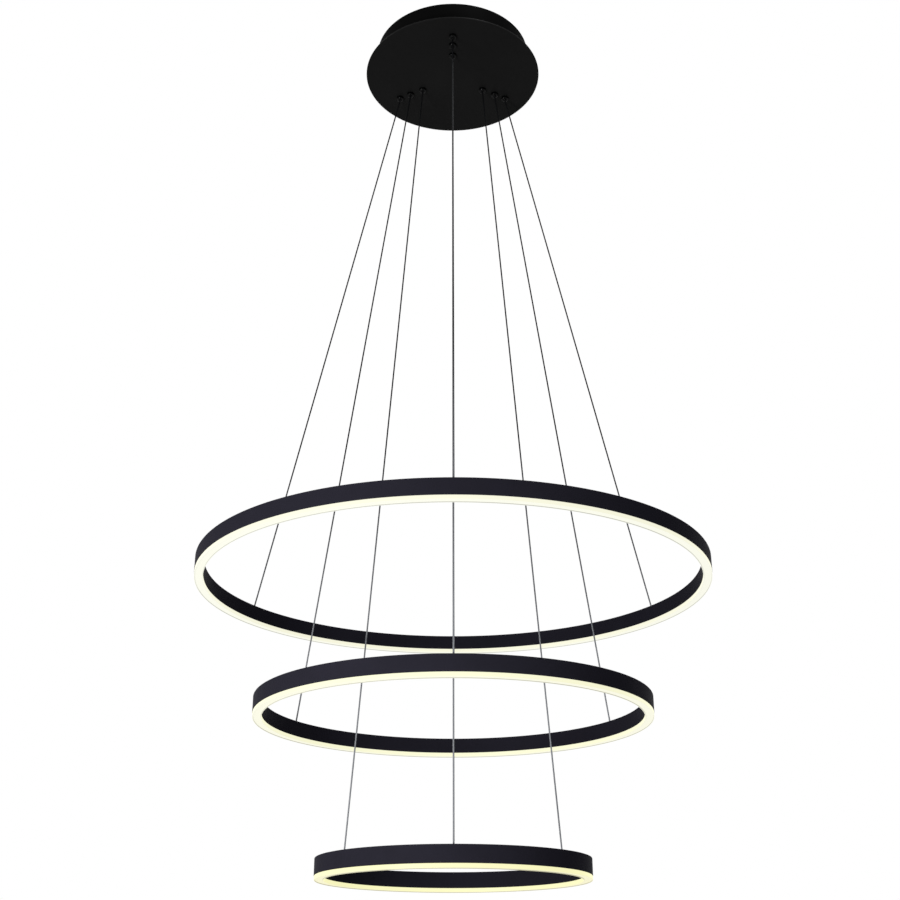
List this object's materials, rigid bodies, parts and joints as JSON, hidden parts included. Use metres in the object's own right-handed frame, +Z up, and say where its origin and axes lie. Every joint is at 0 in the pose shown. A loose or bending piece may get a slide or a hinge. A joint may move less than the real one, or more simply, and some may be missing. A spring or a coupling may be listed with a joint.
{
  "type": "led ring chandelier",
  "caption": "Ceiling chandelier: a round canopy holds concentric level light rings on taut steel cables, each ring a black channel with an opal light bar below.",
  "frame": {"origin": "middle of the canopy face that meets the ceiling, centre of the ceiling screw circle", "axes": "+Z up into the ceiling, -Y the front of the picture, +X to the right"},
  "size_m": [0.7999, 0.8, 1.479],
  "materials": {
    "canopy_black": "satin black powder coat",
    "ring_black": "satin black powder coat on extruded aluminium",
    "grip_black": "glossy black",
    "zinc_sheet": "bright zinc plate",
    "cable_steel": "fine stranded wire, darkened",
    "ferrule_steel": "crimped, plain",
    "opal_glow": "opal, lit from inside",
    "board_white": "white solder mask",
    "driver_plastic": "fine grained",
    "terminal_plastic": "smooth",
    "foam": "closed foam"
  },
  "bodies": {
    "canopy": {"canopy_base": "canopy_black", "base_hooks": "zinc_sheet", "canopy_plate": "canopy_black", "plate_tabs": "zinc_sheet", "led_driver": "driver_plastic", "driver_pad": "foam", "terminal_block": "terminal_plastic", "cable_grips": "grip_black", "upper_front_cable": "cable_steel", "upper_right_cable": "cable_steel", "upper_left_cable": "cable_steel", "middle_front_cable": "cable_steel", "middle_right_cable": "cable_steel", "middle_left_cable": "cable_steel", "lower_front_cable": "cable_steel", "lower_right_cable": "cable_steel", "lower_left_cable": "cable_steel"},
    "upper_ring": {"upper_channel": "ring_black", "upper_led_boards": "board_white", "upper_diffuser": "opal_glow", "upper_cable_ferrules": "ferrule_steel"},
    "middle_ring": {"middle_channel": "ring_black", "middle_led_boards": "board_white", "middle_diffuser": "opal_glow", "middle_cable_ferrules": "ferrule_steel"},
    "lower_ring": {"lower_channel": "ring_black", "lower_led_boards": "board_white", "lower_diffuser": "opal_glow", "lower_cable_ferrules": "ferrule_steel"}
  },
  "joints": [
    {"name": "upper_ring_height", "type": "slide", "parent": "canopy", "child": "upper_ring", "axis": [0, 0, 1], "range_m": [0, 0.45], "deforming": ["upper_front_cable", "upper_right_cable", "upper_left_cable"]},
    {"name": "middle_ring_height", "type": "slide", "parent": "canopy", "child": "middle_ring", "axis": [0, 0, 1], "range_m": [0, 0.45], "deforming": ["middle_front_cable", "middle_right_cable", "middle_left_cable"]},
    {"name": "lower_ring_height", "type": "slide", "parent": "canopy", "child": "lower_ring", "axis": [0, 0, 1], "range_m": [0, 0.45], "deforming": ["lower_front_cable", "lower_right_cable", "lower_left_cable"]}
  ]
}
